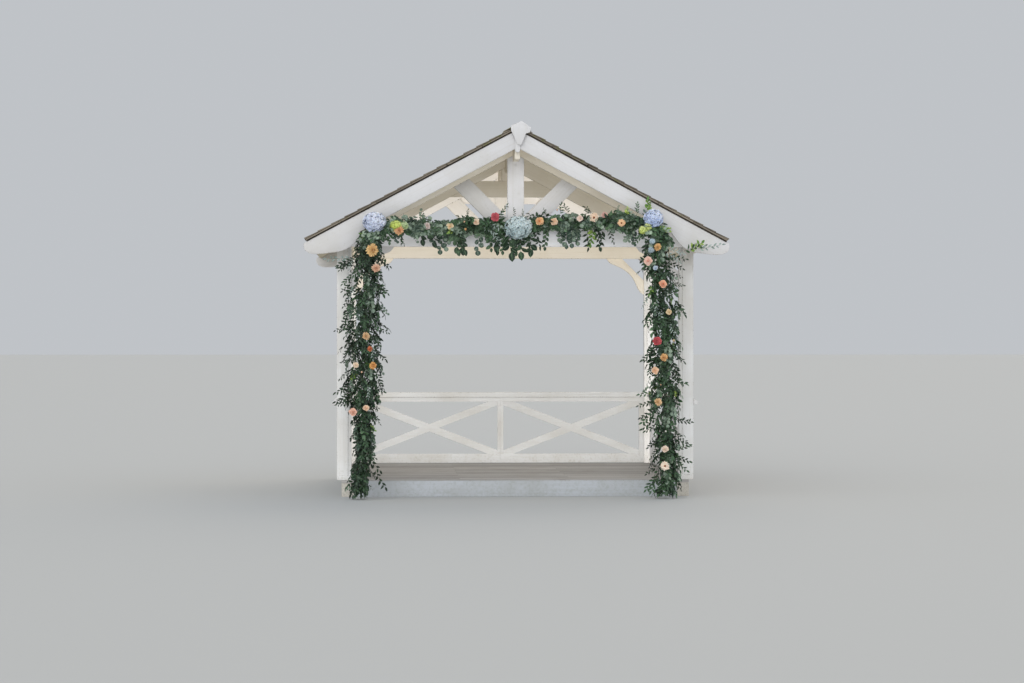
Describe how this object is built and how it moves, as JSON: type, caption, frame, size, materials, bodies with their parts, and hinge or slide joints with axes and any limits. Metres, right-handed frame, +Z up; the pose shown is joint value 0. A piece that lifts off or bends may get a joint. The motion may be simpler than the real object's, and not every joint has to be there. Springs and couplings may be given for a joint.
{
  "type": "wedding canopy pavilion",
  "caption": "Open timber wedding canopy with a gabled shingle roof, crossed balustrades, a low deck and a flower garland draped over its front.",
  "frame": {"origin": "centre of the overall bounding box in plan, at ground level", "axes": "+X to the right seen from the open front, +Y to the back, +Z up"},
  "size_m": [3.7818, 3.9156, 3.3436],
  "materials": {
    "white_paint": "satin white paint, lightly aged",
    "cream_paint": "matt cream-white paint",
    "ceiling_paint": "matt paint on grooved boards",
    "deck_board": "bare weathered boards",
    "rim_timber": "bare weathered timber",
    "shingle": "weathered split shingles with moss",
    "ridge_board_cap": "weathered capping with moss",
    "foliage": "leaves and flowers wired to a rope"
  },
  "bodies": {
    "root": {"deck_floor": "deck_board", "deck_fascia_front": "white_paint", "deck_fascia_back": "white_paint", "deck_rim_beam_left": "rim_timber", "deck_rim_beam_right": "rim_timber", "deck_bearer_left": "rim_timber", "deck_bearer_right": "rim_timber", "post_front_left": "white_paint", "post_front_right": "white_paint", "post_back_left": "white_paint", "post_back_right": "white_paint", "wall_plate_left": "cream_paint", "wall_plate_right": "cream_paint", "tie_beam_front": "white_paint", "tie_beam_back": "cream_paint", "king_post_front": "white_paint", "king_post_mid": "cream_paint", "king_post_back": "cream_paint", "rafter_front_left": "cream_paint", "rafter_front_right": "cream_paint", "rafter_mid_left": "cream_paint", "rafter_mid_right": "cream_paint", "rafter_back_left": "cream_paint", "rafter_back_right": "cream_paint", "strut_front_left": "white_paint", "strut_front_right": "white_paint", "strut_back_left": "cream_paint", "strut_back_right": "cream_paint", "collar_mid": "cream_paint", "collar_back": "cream_paint", "ridge_board": "cream_paint", "roof_boarding_left": "ceiling_paint", "roof_boarding_right": "ceiling_paint", "roof_shingles_left": "shingle", "roof_shingles_right": "shingle", "ridge_cap": "ridge_board_cap", "barge_board_front_left": "white_paint", "barge_board_front_right": "white_paint", "barge_board_back_left": "white_paint", "barge_board_back_right": "white_paint", "finial_front": "white_paint", "finial_back": "white_paint", "knee_brace_front_left": "white_paint", "knee_brace_front_right": "white_paint", "knee_brace_back_left": "cream_paint", "knee_brace_back_right": "cream_paint", "balustrade_back_left": "cream_paint", "balustrade_back_right": "cream_paint", "balustrade_left_front": "white_paint", "balustrade_left_back": "white_paint", "balustrade_right_front": "white_paint", "balustrade_right_back": "white_paint", "handrail_back": "cream_paint", "handrail_left": "white_paint", "handrail_right": "white_paint", "garland_top": "foliage", "garland_left": "foliage", "garland_right": "foliage"}
  },
  "joints": []
}
